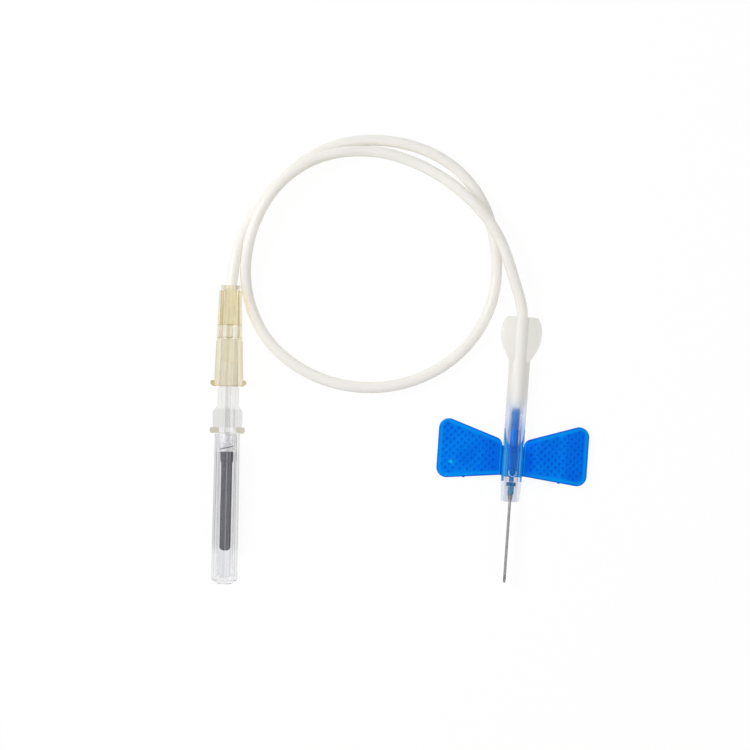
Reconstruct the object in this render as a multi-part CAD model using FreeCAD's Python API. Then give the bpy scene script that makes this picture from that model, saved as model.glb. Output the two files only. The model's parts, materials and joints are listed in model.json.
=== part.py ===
"""Winged needle set with a sliding needle shield, tubing and a capped luer needle adapter.

Lengths are in millimetres. The set lies on a table, Z up, as it is seen from straight above.
Each half is drawn about its own axis, which runs along Y, and is then laid in its place.
"""
import FreeCAD
import Part
import math
import os

V = FreeCAD.Vector

# Fits
SEAT_GAP = 0.02           # between pieces that are pressed or glued together
RUNNING_GAP = 0.04        # round the wings' hinge beads

# Cutting
PAST = 1.0                # how far a cutter runs past what it cuts
NEAR = 0.01               # how near counts as the same place

# Front needle, its tip ahead of the shield's front end
CANNULA_DIA = 0.64
CANNULA_BORE = 0.34
CANNULA_REACH = 18.8
CANNULA_SEAT = 3.0        # glued length inside the hub's nose
BEVEL_LENGTH = 2.0

# Needle hub, stations measured back from the shield's front end
HUB_FRONT = 1.5
NOSE_DIA = 1.44
NOSE_CHAMFER = 0.25
FLANGE_FRONT = 3.6
FLANGE_LENGTH = 0.8
FLANGE_DIA = 2.2
NECK_LENGTH = 1.4
NECK_DIA = 1.05
BARREL_LENGTH = 10.8
BARREL_DIA = 1.84
SPIGOT_LENGTH = 4.9
SPIGOT_BARBS = 3
BARB_HEIGHT = 0.08
BARB_SLOPE = 0.98         # length of a barb's slope
LUMEN_DIA = 0.6
FIN_SPAN = 2.3
FIN_THICK = 0.5
FIN_LENGTH = 6.4
FIN_START = 6.1
LATCH_STATION = 6.7
LATCH_DIA = 1.3
GLUE_CONE_LENGTH = 1.25
GLUE_CONE_DIA = 1.3
GLUE_TIP_DIA = 0.74

# Shield, a clear tube with a flat grip at its rear end
SHIELD_LENGTH = 42.5
SHIELD_DIA = 4.8
SHIELD_FRONT_DIA = 4.25   # it tapers to this from the collar forwards
SHIELD_BORE = 2.9
FRONT_ROUND = 0.35
REAR_LIP_BORE = 2.86
REAR_LIP = 0.8
LATCH_PLAY = 0.07
WINDOW_DIA = 1.5
LOCK_RING_DEPTH = 0.3
LOCK_RING_LENGTH = 1.7
SHIELD_TRAVEL = 20.5

# Grip, its lengths measured forwards from the shield's rear end
GRIP_LENGTH = 10.4
GRIP_NECK_SPAN = 4.32
GRIP_FLARE = 6.9          # where the flare meets the round side
GRIP_FLARE_SPAN = 8.14
GRIP_WIDEST = 3.9
GRIP_SPAN = 9.2
GRIP_BEND = 1.3           # where the round side meets the slanted corner
GRIP_BEND_SPAN = 8.46
GRIP_END_SPAN = 6.9
GRIP_CROWN = 4.1
GRIP_CROWN_SPAN = 10.6

# Collar that carries the wings
COLLAR_FRONT = 4.7
COLLAR_REAR = 16.8
COLLAR_WALL = 0.35
COLLAR_MID_FRONT = 5.75
COLLAR_MID_REAR = 12.75
NOTCH_SPAN = 3.7
NOTCH_REAR_SPAN = 4.5     # the rear notch widens to this, so its arms end thin
FOOT_LIP = 0.35

# Wings
WING_REACH = 17.35
WING_THICK = 1.0
WING_LIFT = 0.15          # underside above the table
WING_ROOT_FRONT = 5.85
WING_ROOT_REAR = 14.2
WING_TIP_FRONT = 4.2
WING_TIP_REAR = 19.0
WING_CORNER = 2.3
SHOULDER_ROUND = 2.0
WING_EDGE_ROUND = 0.3
HINGE_REACH = 2.96
DISH_REACH = 9.0
DISH_STATION = 10.4
DISH_DIA = 5.9
DISH_DEPTH = 0.1
DIMPLE_PITCH = 1.68
DIMPLE_SIZE = 1.06
DIMPLE_DEPTH = 0.3
DIMPLE_MARGIN = 1.2
DIMPLE_TIP_MARGIN = 1.3
DIMPLE_ROOT_MARGIN = 0.72
DIMPLE_ABOVE = 0.15       # how far a pit's cutter stands out of the surface
NUB_REACH = 11.0
NUB_DIA = 0.7
NUB_HEIGHT = 0.5
NUB_PROUD = 0.2

# Tubing
TUBE_DIA = 2.5
TUBE_BORE = 1.4

# Female connector, stations measured back from its mouth
MOUTH_DIA = 4.27
LUER_TAPER = 0.06         # loss of diameter over length
MOUTH_DEPTH = 10.8
MOUTH_STEP = 0.3
CONNECTOR_LENGTH = 23.1
CONNECTOR_MOUTH_DIA = 6.72
CONNECTOR_SHOULDER_DIA = 6.02
SHOULDER_STATION = 10.4
SHOULDER_CHAMFER = 0.8
SOCKET_DEPTH = 9.0
SOCKET_WALL = 0.95
SOCKET_LEDGE = 0.2
FUNNEL_DEPTH = 1.3
FUNNEL_DIA = 3.9
CONNECTOR_RIBS = 8
RIB_WIDTH = 0.7
RIB_END_DIA = 5.15
RIB_ROOT_DIA = 5.85
RIB_END_DROP = 0.3
LUG_SPAN = 8.05
LUG_WIDTH = 3.6
LUG_THICK = 1.35
LUG_CORNER = 0.55
FAR_CORNER_SHARE = 0.4    # the lugs' rear corners against their front ones
RIM_ROUND = 0.2

# Male adapter, stations measured from the same mouth, its needle side below it
NOZZLE_LENGTH = 5.6
NOZZLE_CHAMFER = 0.15
LUER_PLAY = 0.02          # radial play in the taper
SHOULDER_GAP = 0.3
ADAPTER_LUMEN = 1.3
ADAPTER_CORE_DIA = 4.95
VANE_START = 4.5
VANE_CHAMFER = 1.35
VANE_END = 9.45
VANE_DIA = 6.82
VANE_WIDTH = 1.7
VANE_COUNT = 4
ADAPTER_LUG_SPAN = 7.9
ADAPTER_LUG_WIDTH = 3.2
ADAPTER_LUG_THICK = 1.4
ADAPTER_LUG_CORNER = 0.385
BOSS_COLLAR_REACH = 0.6
BOSS_LENGTH = 4.1
BOSS_DIA = 3.9
BOSS_THREAD_DEPTH = 0.16
BOSS_THREAD_PITCH = 1.3
BOSS_THREAD_TURNS = 2.25
BOSS_THREAD_START = 0.5
BOSS_THREAD_ROOT = 0.728
BOSS_THREAD_TOP = 0.29
BOSS_THREAD_SUNK = 0.1
NIPPLE_LENGTH = 2.4
NIPPLE_DIA = 1.9
GLUE_WELL_DIA = 1.5
GLUE_WELL_DEPTH = 2.4     # these three are measured back from the boss's end
ADAPTER_LUMEN_START = 3.4
REAR_CANNULA_SEAT = 4.4

# Rear needle and the sleeve over it
REAR_CANNULA_DIA = 0.8
REAR_CANNULA_BORE = 0.5
REAR_CANNULA_REACH = 19.6
REAR_BEVEL = 1.6
SLEEVE_LENGTH = 22.7
SLEEVE_DIA = 2.54
SLEEVE_BASE_DIA = 3.12
SLEEVE_BASE_LENGTH = 2.6
SLEEVE_BASE_SLOPE = 0.6
SLEEVE_END_ROUND = 0.89
SLEEVE_END_ROOM = 0.6     # ahead of the needle's point
SLEEVE_BORE = 0.94

# Cap over the rear needle
CAP_LENGTH = 34.4
CAP_MOUTH_DIA = 5.3
CAP_END_DIA = 5.66
CAP_END_WALL = 1.4
CAP_END_CROWN = 0.8
CAP_END_FLAT_DIA = 3.4
CAP_BORE_CHAMFER = 0.6
CAP_FAR_BORE = 3.5
CAP_RIBS = 8
CAP_RIB_WIDTH = 0.8
CAP_RIB_HEIGHT = 0.2

# Where the halves lie, from the shield's front end
NEEDLE_TILT = 4.0         # the axes lean this far to the right, in degrees
LUER_TILT = 1.28
LUER_MOUTH_ASIDE = -64.6
LUER_MOUTH_BEHIND = 26.5

# Route of the free tubing: angle about the loop's centre, radius, height of the tube's middle
LOOP_ASIDE = -32.15
LOOP_BEHIND = 54.85
BEND_SHARE = 0.45         # the share of a run that each bend takes
EXIT_RUN = 1.5            # straight out of the grip
LEAD_RUN = 5.5            # the run that ends there, before the first bend
CONNECTOR_RUN = 3.6       # straight into the connector's funnel
FLOOR = TUBE_DIA / 2
STRAND_CLEARANCE = 3.0    # between the strands where one passes over the other
OVER = FLOOR + TUBE_DIA + STRAND_CLEARANCE
LOOP_ROUTE = [
    (-9.0, 34.1, 3.3),
    (12.5, 30.5, OVER),
    (33.5, 27.4, OVER),
    (59.0, 25.8, 4.6),
    (86.5, 26.2, 4.6),
    (114.5, 27.5, OVER),
    (141.0, 28.4, OVER),
    (169.0, 28.8, 4.6),
    (195.0, 29.9, FLOOR),
    (221.5, 30.4, FLOOR),
    (250.5, 29.7, FLOOR),
    (279.5, 29.6, FLOOR),
    (308.5, 30.1, FLOOR),
    (336.0, 30.4, FLOOR),
    (361.5, 29.9, FLOOR),
    (389.5, 30.4, FLOOR),
    (415.0, 30.1, FLOOR),
    (443.5, 29.2, FLOOR),
    (471.5, 29.0, FLOOR),
    (498.5, 28.4, FLOOR),
    (523.0, 30.0, FLOOR),
]


def turned(profile, sweep=360):
    """Turns a closed profile of (radius, station) points about the Y axis."""
    points = [V(r, y, 0) for r, y in profile]
    face = Part.Face(Part.makePolygon(points + [points[0]]))
    return face.revolve(V(0, 0, 0), V(0, 1, 0), sweep)


def rod(radius, start, end, x=0.0, z=0.0):
    """A round bar along Y from one station to another."""
    return Part.makeCylinder(radius, end - start, V(x, start, z), V(0, 1, 0))


def block(x0, x1, y0, y1, z0, z1):
    """A box between two corners."""
    return Part.makeBox(x1 - x0, y1 - y0, z1 - z0, V(x0, y0, z0))


def prism(points, start, height):
    """A flat outline of (x, y) points raised along Z."""
    corners = [V(x, y, start) for x, y in points]
    face = Part.Face(Part.makePolygon(corners + [corners[0]]))
    return face.extrude(V(0, 0, height))


def copies_about_axis(shape, count):
    """The shape and its copies, evenly spaced about the Y axis."""
    pieces = []
    for index in range(count):
        piece = shape.copy()
        piece.rotate(V(0, 0, 0), V(0, 1, 0), 360.0 * index / count)
        pieces.append(piece)
    return pieces


def one_solid(shape):
    """The shape with its split faces joined, as a plain solid where it is one."""
    clean = shape.removeSplitter()
    return clean.Solids[0] if len(clean.Solids) == 1 else clean


def bevelled(tube, radius, tip, length, direction):
    """Cuts a needle's slanting point; direction is +1 if the tip is at the high station."""
    back = tip - direction * length
    wedge = Part.makePolygon([V(0, back, radius), V(0, tip + direction * PAST, radius),
                              V(0, tip + direction * PAST, -radius - PAST), V(0, tip, -radius),
                              V(0, back, radius)])
    cutter = Part.Face(wedge).extrude(V(4 * radius, 0, 0))
    cutter.translate(V(-2 * radius, 0, 0))
    return tube.cut(cutter)


def front_cannula():
    """Thin steel tube with its bevel facing up."""
    outer = CANNULA_DIA / 2
    inner = CANNULA_BORE / 2
    rear = HUB_FRONT + CANNULA_SEAT
    tube = rod(outer, -CANNULA_REACH, rear).cut(rod(inner, -CANNULA_REACH - PAST, rear + PAST))
    return one_solid(bevelled(tube, outer, -CANNULA_REACH, BEVEL_LENGTH, -1))


def hub_glue():
    """Cone of glue where the needle enters the hub."""
    inner = CANNULA_DIA / 2
    tip = HUB_FRONT - GLUE_CONE_LENGTH
    return turned([(inner, HUB_FRONT), (GLUE_CONE_DIA / 2, HUB_FRONT), (GLUE_TIP_DIA / 2, tip), (inner, tip)])


def hub_stations():
    """Stations of the hub's steps, from its nose to the end of its spigot."""
    neck = FLANGE_FRONT + FLANGE_LENGTH
    barrel = neck + NECK_LENGTH
    shoulder = barrel + BARREL_LENGTH
    return neck, barrel, shoulder, shoulder + SPIGOT_LENGTH


def needle_hub():
    """Moulded hub: nose, flange, finned barrel with a latch boss, and barbed spigot."""
    neck, barrel, shoulder, end = hub_stations()
    spigot = TUBE_BORE / 2 - BARB_HEIGHT
    profile = [(0, HUB_FRONT), (NOSE_DIA / 2 - NOSE_CHAMFER, HUB_FRONT),
               (NOSE_DIA / 2, HUB_FRONT + NOSE_CHAMFER), (NOSE_DIA / 2, FLANGE_FRONT),
               (FLANGE_DIA / 2, FLANGE_FRONT), (FLANGE_DIA / 2, neck),
               (NECK_DIA / 2, neck), (NECK_DIA / 2, barrel),
               (BARREL_DIA / 2, barrel), (BARREL_DIA / 2, shoulder)]
    barb = SPIGOT_LENGTH / (SPIGOT_BARBS + 1)
    profile.append((spigot, shoulder))
    for index in range(SPIGOT_BARBS):
        foot = shoulder + barb * (index + 1)
        profile += [(spigot, foot), (spigot + BARB_HEIGHT, foot), (spigot, foot + BARB_SLOPE)]
    profile += [(spigot, end), (0, end)]
    body = turned(profile)
    rail = block(-FIN_SPAN / 2, FIN_SPAN / 2, FIN_START, FIN_START + FIN_LENGTH,
                 -FIN_THICK / 2, FIN_THICK / 2)
    boss = Part.makeCylinder(LATCH_DIA / 2, SHIELD_BORE, V(0, LATCH_STATION, 0), V(0, 0, 1))
    inside_bore = rod(SHIELD_BORE / 2 - LATCH_PLAY, HUB_FRONT, end)
    body = body.multiFuse([rail, boss.common(inside_bore)])
    seat = rod(CANNULA_DIA / 2, HUB_FRONT - PAST, HUB_FRONT + CANNULA_SEAT)
    lumen = rod(LUMEN_DIA / 2, HUB_FRONT + CANNULA_SEAT, end + PAST)
    return one_solid(body.cut(seat).cut(lumen))


def grip_outline():
    """Outline of the grip seen from above, as a closed wire."""
    corners = [(GRIP_NECK_SPAN, GRIP_LENGTH), (GRIP_FLARE_SPAN, GRIP_FLARE), (GRIP_SPAN, GRIP_WIDEST),
               (GRIP_BEND_SPAN, GRIP_BEND), (GRIP_END_SPAN, 0)]
    sides = []
    edges = []
    for side in (1, -1):
        neck, flare, widest, bend, end = [V(side * span / 2, SHIELD_LENGTH - ahead, 0)
                                          for span, ahead in corners]
        edges.append(Part.LineSegment(neck, flare).toShape())
        edges.append(Part.Arc(flare, widest, bend).toShape())
        edges.append(Part.LineSegment(bend, end).toShape())
        sides.append((neck, end))
    (right_neck, right_end), (left_neck, left_end) = sides
    edges.append(Part.LineSegment(right_neck, left_neck).toShape())
    edges.append(Part.LineSegment(right_end, left_end).toShape())
    return Part.Wire(Part.__sortEdges__(edges))


def grip():
    """Flat grip, thick in the middle and thin at its edges."""
    plate = Part.Face(grip_outline()).extrude(V(0, 0, 2 * SHIELD_DIA))
    plate.translate(V(0, 0, -SHIELD_DIA))
    crown = Part.Ellipse(V(0, 0, 0), GRIP_CROWN_SPAN / 2, GRIP_CROWN / 2).toShape()
    section = Part.Face(Part.Wire(crown))
    section.rotate(V(0, 0, 0), V(1, 0, 0), 90)
    section.translate(V(0, SHIELD_LENGTH - GRIP_LENGTH - PAST, 0))
    return plate.common(section.extrude(V(0, GRIP_LENGTH + 2 * PAST, 0)))


def collar_shape(gap):
    """Band round the shield, longer at its sides than on top, grown by a gap all over."""
    inner = SHIELD_DIA / 2 - COLLAR_WALL - gap
    outer = SHIELD_DIA / 2 + gap
    front = COLLAR_FRONT - gap
    rear = COLLAR_REAR + gap
    band = rod(outer, front, rear).cut(rod(inner, front - PAST, rear + PAST))
    half = NOTCH_SPAN / 2 - gap
    tall = SHIELD_DIA
    front_notch = block(-half, half, front - PAST, COLLAR_MID_FRONT - gap, -tall, tall)
    round_middle = COLLAR_MID_REAR + NOTCH_SPAN / 2
    rear_notch = Part.makeCylinder(half, 2 * tall, V(0, round_middle, -tall), V(0, 0, 1))
    rear_half = NOTCH_REAR_SPAN / 2 - gap
    arms = prism([(-half, round_middle), (half, round_middle), (rear_half, rear), (rear_half, rear + PAST),
                  (-rear_half, rear + PAST), (-rear_half, rear)], -tall, 2 * tall)
    return band.cut(front_notch).cut(rear_notch.fuse(arms))


def latch_window():
    """Round hole over the latch boss, through the shield and the collar."""
    return Part.makeCylinder(WINDOW_DIA / 2, SHIELD_DIA, V(0, LATCH_STATION, 0), V(0, 0, 1))


def shield():
    """Clear tube with a tapered and rounded front, a flat grip, the collar's groove and the latch window."""
    outer = turned([(0, 0), (SHIELD_FRONT_DIA / 2, 0), (SHIELD_DIA / 2, COLLAR_FRONT),
                    (SHIELD_DIA / 2, SHIELD_LENGTH), (0, SHIELD_LENGTH)])
    front_edges = [edge for edge in outer.Edges if edge.BoundBox.YMax < NEAR]
    outer = outer.makeFillet(FRONT_ROUND, front_edges)
    lip_start = SHIELD_LENGTH - REAR_LIP
    bore = rod(SHIELD_BORE / 2, -PAST, lip_start)
    bore = bore.fuse(rod(REAR_LIP_BORE / 2, lip_start - PAST, SHIELD_LENGTH + PAST))
    lock_middle = LATCH_STATION + SHIELD_TRAVEL
    lock = rod(SHIELD_BORE / 2 + LOCK_RING_DEPTH, lock_middle - LOCK_RING_LENGTH / 2,
               lock_middle + LOCK_RING_LENGTH / 2)
    body = outer.fuse(grip())
    for cutter in (bore, lock, collar_shape(SEAT_GAP), latch_window()):
        body = body.cut(cutter)
    return one_solid(body)


def hinge_height():
    """Height of the wings' hinge beads from the shield's axis."""
    return -SHIELD_DIA / 2 + WING_LIFT + WING_THICK / 2


def wing_collar():
    """Band with a foot on each side, hollowed for the hinge beads."""
    band = collar_shape(0)
    low = hinge_height() - WING_THICK / 2
    side = SHIELD_DIA / 2 - SEAT_GAP
    foot = block(-side, side, WING_ROOT_FRONT, COLLAR_MID_REAR, low, 0)
    lip = HINGE_REACH - FOOT_LIP
    foot = foot.fuse(block(-lip, lip, WING_ROOT_FRONT, COLLAR_MID_REAR, low,
                           hinge_height() - RUNNING_GAP))
    foot = foot.cut(rod(SHIELD_DIA / 2 - COLLAR_WALL / 2, COLLAR_FRONT - PAST, COLLAR_REAR + PAST))
    body = band.fuse(foot)
    for side in (1, -1):
        hollow = rod(WING_THICK / 2 + RUNNING_GAP, COLLAR_FRONT - PAST, COLLAR_REAR + PAST,
                     side * HINGE_REACH, hinge_height())
        body = body.cut(hollow)
    return one_solid(body.cut(latch_window()))


def wing_edge_distance(x, y):
    """How far a point lies inside the wing's front, rear and tip edges."""
    span = WING_REACH - HINGE_REACH
    front_rise = (WING_TIP_FRONT - WING_ROOT_FRONT) / span
    rear_rise = (WING_TIP_REAR - WING_ROOT_REAR) / span
    front = (y - WING_ROOT_FRONT - front_rise * (x - HINGE_REACH)) / math.hypot(1, front_rise)
    rear = (WING_ROOT_REAR + rear_rise * (x - HINGE_REACH) - y) / math.hypot(1, rear_rise)
    inside = min(front, rear, WING_REACH - x)
    for edge in (front, rear):
        corner_x = WING_CORNER - (WING_REACH - x)
        corner_y = WING_CORNER - edge
        if corner_x > 0 and corner_y > 0:
            inside = min(inside, WING_CORNER - math.hypot(corner_x, corner_y))
    return inside


def dimple_places():
    """Centres of the staggered dimples, counted in from the tip."""
    step = DIMPLE_PITCH / 2
    places = []
    columns = int((WING_REACH - DIMPLE_MARGIN - HINGE_REACH) / step)
    rows = int((WING_TIP_REAR - WING_TIP_FRONT) / step) + 1
    for column in range(columns + 1):
        x = WING_REACH - DIMPLE_TIP_MARGIN - column * step
        for row in range(rows + 1):
            y = WING_TIP_FRONT + row * step
            if (column + row) % 2 or x < HINGE_REACH + DIMPLE_ROOT_MARGIN:
                continue
            if wing_edge_distance(x, y) >= DIMPLE_MARGIN:
                places.append((x, y))
    return places


def dimple(x, y, surface, direction):
    """A square pit on its corner, as a pyramid that points into the wing."""
    half = DIMPLE_SIZE / 2
    reach = half * (DIMPLE_DEPTH + DIMPLE_ABOVE) / DIMPLE_DEPTH
    base = surface - direction * DIMPLE_ABOVE
    corners = [V(x + reach, y, base), V(x, y + reach, base), V(x - reach, y, base), V(x, y - reach, base)]
    tip = V(x, y, surface + direction * DIMPLE_DEPTH)
    faces = [Part.Face(Part.makePolygon(corners + [corners[0]]))]
    for index in range(4):
        a, b = corners[index], corners[(index + 1) % 4]
        faces.append(Part.Face(Part.makePolygon([a, b, tip, a])))
    return Part.makeSolid(Part.makeShell(faces))


def upright_edges(plate, x, lowest_y):
    """The plate's upright edges at one x, from one y on."""
    return [edge for edge in plate.Edges
            if edge.BoundBox.ZLength > WING_THICK / 2 and abs(edge.BoundBox.Center.x - x) < NEAR
            and edge.BoundBox.Center.y > lowest_y - NEAR]


def wing():
    """The right wing: a rounded plate with a hinge bead at its root, a thumb dish and dimples."""
    low = hinge_height() - WING_THICK / 2
    high = low + WING_THICK
    root = HINGE_REACH - WING_THICK / 2
    span = WING_REACH - HINGE_REACH
    front_slope = (WING_TIP_FRONT - WING_ROOT_FRONT) / span
    rear_slope = (WING_TIP_REAR - WING_ROOT_REAR) / span
    outline = [(root, WING_ROOT_FRONT), (HINGE_REACH, WING_ROOT_FRONT), (WING_REACH, WING_TIP_FRONT),
               (WING_REACH, WING_TIP_REAR), (root, WING_ROOT_REAR + rear_slope * (root - HINGE_REACH))]
    plate = prism(outline, low, WING_THICK)
    plate = plate.makeFillet(WING_CORNER, upright_edges(plate, WING_REACH, 0))
    plate = plate.makeFillet(SHOULDER_ROUND, upright_edges(plate, root, DISH_STATION))
    bead = plate.common(rod(WING_THICK / 2, 0, WING_TIP_REAR, HINGE_REACH, hinge_height()))
    rims = [edge for edge in plate.Edges
            if edge.BoundBox.ZLength < NEAR and edge.BoundBox.XMax > HINGE_REACH + NEAR]
    plate = plate.makeFillet(WING_EDGE_ROUND, rims)
    plate = plate.cut(block(root - PAST, HINGE_REACH, 0, WING_TIP_REAR, low - PAST, high + PAST))
    nub_y = WING_ROOT_FRONT + front_slope * (NUB_REACH - HINGE_REACH) + NUB_DIA / 2 - NUB_PROUD
    nub = Part.makeCylinder(NUB_DIA / 2, NUB_HEIGHT, V(NUB_REACH, nub_y, hinge_height() - NUB_HEIGHT / 2),
                            V(0, 0, 1))
    plate = plate.multiFuse([nub, bead])
    dish = Part.makeCylinder(DISH_DIA / 2, PAST, V(DISH_REACH, DISH_STATION, high - DISH_DEPTH), V(0, 0, 1))
    plate = plate.cut(dish)
    pits = []
    for x, y in dimple_places():
        in_dish = math.hypot(x - DISH_REACH, y - DISH_STATION) < DISH_DIA / 2
        pits.append(dimple(x, y, high - DISH_DEPTH if in_dish else high, -1))
        pits.append(dimple(x, y, low, 1))
    return one_solid(plate.cut(Part.makeCompound(pits)))


def mirrored(shape):
    """The same piece on the other side of the axis."""
    return shape.mirror(V(0, 0, 0), V(1, 0, 0))


def mouth_radius(station):
    """Radius of the connector's tapered mouth at a station."""
    return (MOUTH_DIA - LUER_TAPER * station) / 2


def lug_pair(span, width, start, end, corner):
    """Two flat lugs on one bar, their outer corners cut off."""
    half = span / 2
    far = corner * FAR_CORNER_SHARE
    points = [(half - corner, start), (half, start + corner), (half, end - far), (half - far, end),
              (-half + far, end), (-half, end - far), (-half, start + corner), (-half + corner, start)]
    return prism(points, -width / 2, width)


def luer_connector():
    """Female connector: lugs at its mouth, tapered body, ribbed socket with a funnel for the tube."""
    top = CONNECTOR_LENGTH
    socket_bottom = top - SOCKET_DEPTH
    socket = TUBE_DIA / 2 + SEAT_GAP
    core = socket + SOCKET_WALL
    ledge = SHOULDER_STATION + SHOULDER_CHAMFER
    outer = [(0, 0), (CONNECTOR_MOUTH_DIA / 2 - RIM_ROUND, 0), (CONNECTOR_MOUTH_DIA / 2, RIM_ROUND),
             (CONNECTOR_SHOULDER_DIA / 2, SHOULDER_STATION), (core + SOCKET_LEDGE, ledge),
             (core, ledge + SOCKET_LEDGE), (core, top), (0, top)]
    body = turned(outer)
    rib_top = top - FUNNEL_DEPTH
    rib_profile = [V(0, SHOULDER_STATION, 0), V(RIB_ROOT_DIA / 2, SHOULDER_STATION, 0),
                   V(RIB_END_DIA / 2, rib_top, 0), V(core - RIB_END_DROP, rib_top + RIB_END_DROP, 0),
                   V(0, rib_top, 0)]
    rib = Part.Face(Part.makePolygon(rib_profile + [rib_profile[0]])).extrude(V(0, 0, RIB_WIDTH))
    rib.translate(V(0, 0, -RIB_WIDTH / 2))
    lugs = lug_pair(LUG_SPAN, LUG_WIDTH, 0, LUG_THICK, LUG_CORNER)
    body = body.multiFuse(copies_about_axis(rib, CONNECTOR_RIBS) + [lugs])
    bore = [(0, -PAST), (mouth_radius(-PAST), -PAST), (mouth_radius(MOUTH_DEPTH), MOUTH_DEPTH),
            (TUBE_BORE / 2, MOUTH_DEPTH + MOUTH_STEP), (TUBE_BORE / 2, socket_bottom), (socket, socket_bottom),
            (socket, top - FUNNEL_DEPTH), (FUNNEL_DIA / 2, top), (FUNNEL_DIA / 2, top + PAST), (0, top + PAST)]
    return one_solid(body.cut(turned(bore)))


def adapter_stations():
    """Stations of the adapter's lugs, boss and nipple below the mouth."""
    lug_end = -VANE_END - ADAPTER_LUG_THICK
    boss_end = lug_end - BOSS_LENGTH
    return lug_end, boss_end, boss_end - NIPPLE_LENGTH


def thread_ridge():
    """Coarse right-hand thread on the adapter's boss, as a ridge with a flat top."""
    lug_end, boss_end, _ = adapter_stations()
    height = BOSS_THREAD_PITCH * BOSS_THREAD_TURNS
    core = BOSS_DIA / 2 - BOSS_THREAD_DEPTH
    helix = Part.makeHelix(BOSS_THREAD_PITCH, height, core)
    root = BOSS_THREAD_ROOT / 2
    top = BOSS_THREAD_TOP / 2
    sunk = core - BOSS_THREAD_SUNK
    crest = core + BOSS_THREAD_DEPTH
    section = Part.makePolygon([V(sunk, 0, -root), V(crest, 0, -top), V(crest, 0, top), V(sunk, 0, root),
                                V(sunk, 0, -root)])
    ridge = Part.Wire(helix.Edges).makePipeShell([section], True, True)
    ridge.rotate(V(0, 0, 0), V(1, 0, 0), -90)
    ridge.translate(V(0, boss_end + BOSS_THREAD_START, 0))
    return ridge


def luer_adapter():
    """Clear adapter: male taper, neck, four chamfered vanes, lugs, threaded boss and nipple."""
    lug_end, boss_end, nipple_end = adapter_stations()
    core = ADAPTER_CORE_DIA / 2
    boss_core = BOSS_DIA / 2 - BOSS_THREAD_DEPTH
    tip = mouth_radius(NOZZLE_LENGTH) - LUER_PLAY
    base = mouth_radius(-SHOULDER_GAP) - LUER_PLAY
    outer = [(0, NOZZLE_LENGTH), (tip - NOZZLE_CHAMFER, NOZZLE_LENGTH), (tip, NOZZLE_LENGTH - NOZZLE_CHAMFER),
             (base, -SHOULDER_GAP), (core, -SHOULDER_GAP), (core, lug_end), (boss_core, lug_end),
             (boss_core, boss_end), (NIPPLE_DIA / 2, boss_end), (NIPPLE_DIA / 2, nipple_end), (0, nipple_end)]
    body = turned(outer)
    vane_profile = [(0, -VANE_START), (core, -VANE_START), (VANE_DIA / 2, -VANE_START - VANE_CHAMFER),
                    (VANE_DIA / 2, -VANE_END - ADAPTER_LUG_THICK / 2), (0, -VANE_END - ADAPTER_LUG_THICK / 2)]
    vane = prism(vane_profile, -VANE_WIDTH / 2, VANE_WIDTH)
    lugs = lug_pair(ADAPTER_LUG_SPAN, ADAPTER_LUG_WIDTH, lug_end, -VANE_END, ADAPTER_LUG_CORNER)
    collar = rod(BOSS_DIA / 2, lug_end - BOSS_COLLAR_REACH, lug_end + BOSS_COLLAR_REACH)
    body = body.multiFuse(copies_about_axis(vane, VANE_COUNT) + [lugs, collar, thread_ridge()])
    lumen = rod(ADAPTER_LUMEN / 2, boss_end + ADAPTER_LUMEN_START, NOZZLE_LENGTH + PAST)
    seat = rod(REAR_CANNULA_DIA / 2, nipple_end - PAST, boss_end + REAR_CANNULA_SEAT)
    well = rod(GLUE_WELL_DIA / 2, nipple_end - PAST, boss_end + GLUE_WELL_DEPTH)
    return one_solid(body.cut(lumen).cut(seat).cut(well))


def adapter_glue():
    """Glue that fills the well round the rear needle."""
    _, boss_end, nipple_end = adapter_stations()
    glue = rod(GLUE_WELL_DIA / 2, nipple_end, boss_end + GLUE_WELL_DEPTH)
    return glue.cut(rod(REAR_CANNULA_DIA / 2, nipple_end - PAST, boss_end + REAR_CANNULA_SEAT))


def rear_cannula():
    """Steel needle that pierces a tube stopper, inside the sleeve."""
    _, boss_end, _ = adapter_stations()
    outer = REAR_CANNULA_DIA / 2
    tip = boss_end - REAR_CANNULA_REACH
    back = boss_end + REAR_CANNULA_SEAT
    tube = rod(outer, tip, back).cut(rod(REAR_CANNULA_BORE / 2, tip - PAST, back + PAST))
    return one_solid(bevelled(tube, outer, tip, REAR_BEVEL, -1))


def rubber_sleeve():
    """Soft sleeve, wide over the adapter's nipple and closed by a round end."""
    _, boss_end, nipple_end = adapter_stations()
    end = boss_end - SLEEVE_LENGTH
    radius = SLEEVE_DIA / 2
    base = SLEEVE_BASE_DIA / 2
    start = boss_end - SEAT_GAP
    neck = start - SLEEVE_BASE_LENGTH
    cheek = SLEEVE_END_ROUND
    mid = radius - cheek * (1 - math.sqrt(0.5))
    edges = [Part.LineSegment(V(0, start, 0), V(base, start, 0)),
             Part.LineSegment(V(base, start, 0), V(base, neck + SLEEVE_BASE_SLOPE, 0)),
             Part.LineSegment(V(base, neck + SLEEVE_BASE_SLOPE, 0), V(radius, neck, 0)),
             Part.LineSegment(V(radius, neck, 0), V(radius, end + cheek, 0)),
             Part.Arc(V(radius, end + cheek, 0), V(mid, end + cheek * (1 - math.sqrt(0.5)), 0),
                      V(radius - cheek, end, 0)),
             Part.LineSegment(V(radius - cheek, end, 0), V(0, end, 0)),
             Part.LineSegment(V(0, end, 0), V(0, start, 0))]
    face = Part.Face(Part.Wire([edge.toShape() for edge in edges]))
    body = face.revolve(V(0, 0, 0), V(0, 1, 0), 360)
    nipple = rod(NIPPLE_DIA / 2 + SEAT_GAP, nipple_end - SEAT_GAP, start + PAST)
    channel = rod(SLEEVE_BORE / 2, boss_end - REAR_CANNULA_REACH - SLEEVE_END_ROOM, start)
    return one_solid(body.cut(nipple).cut(channel))


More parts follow.
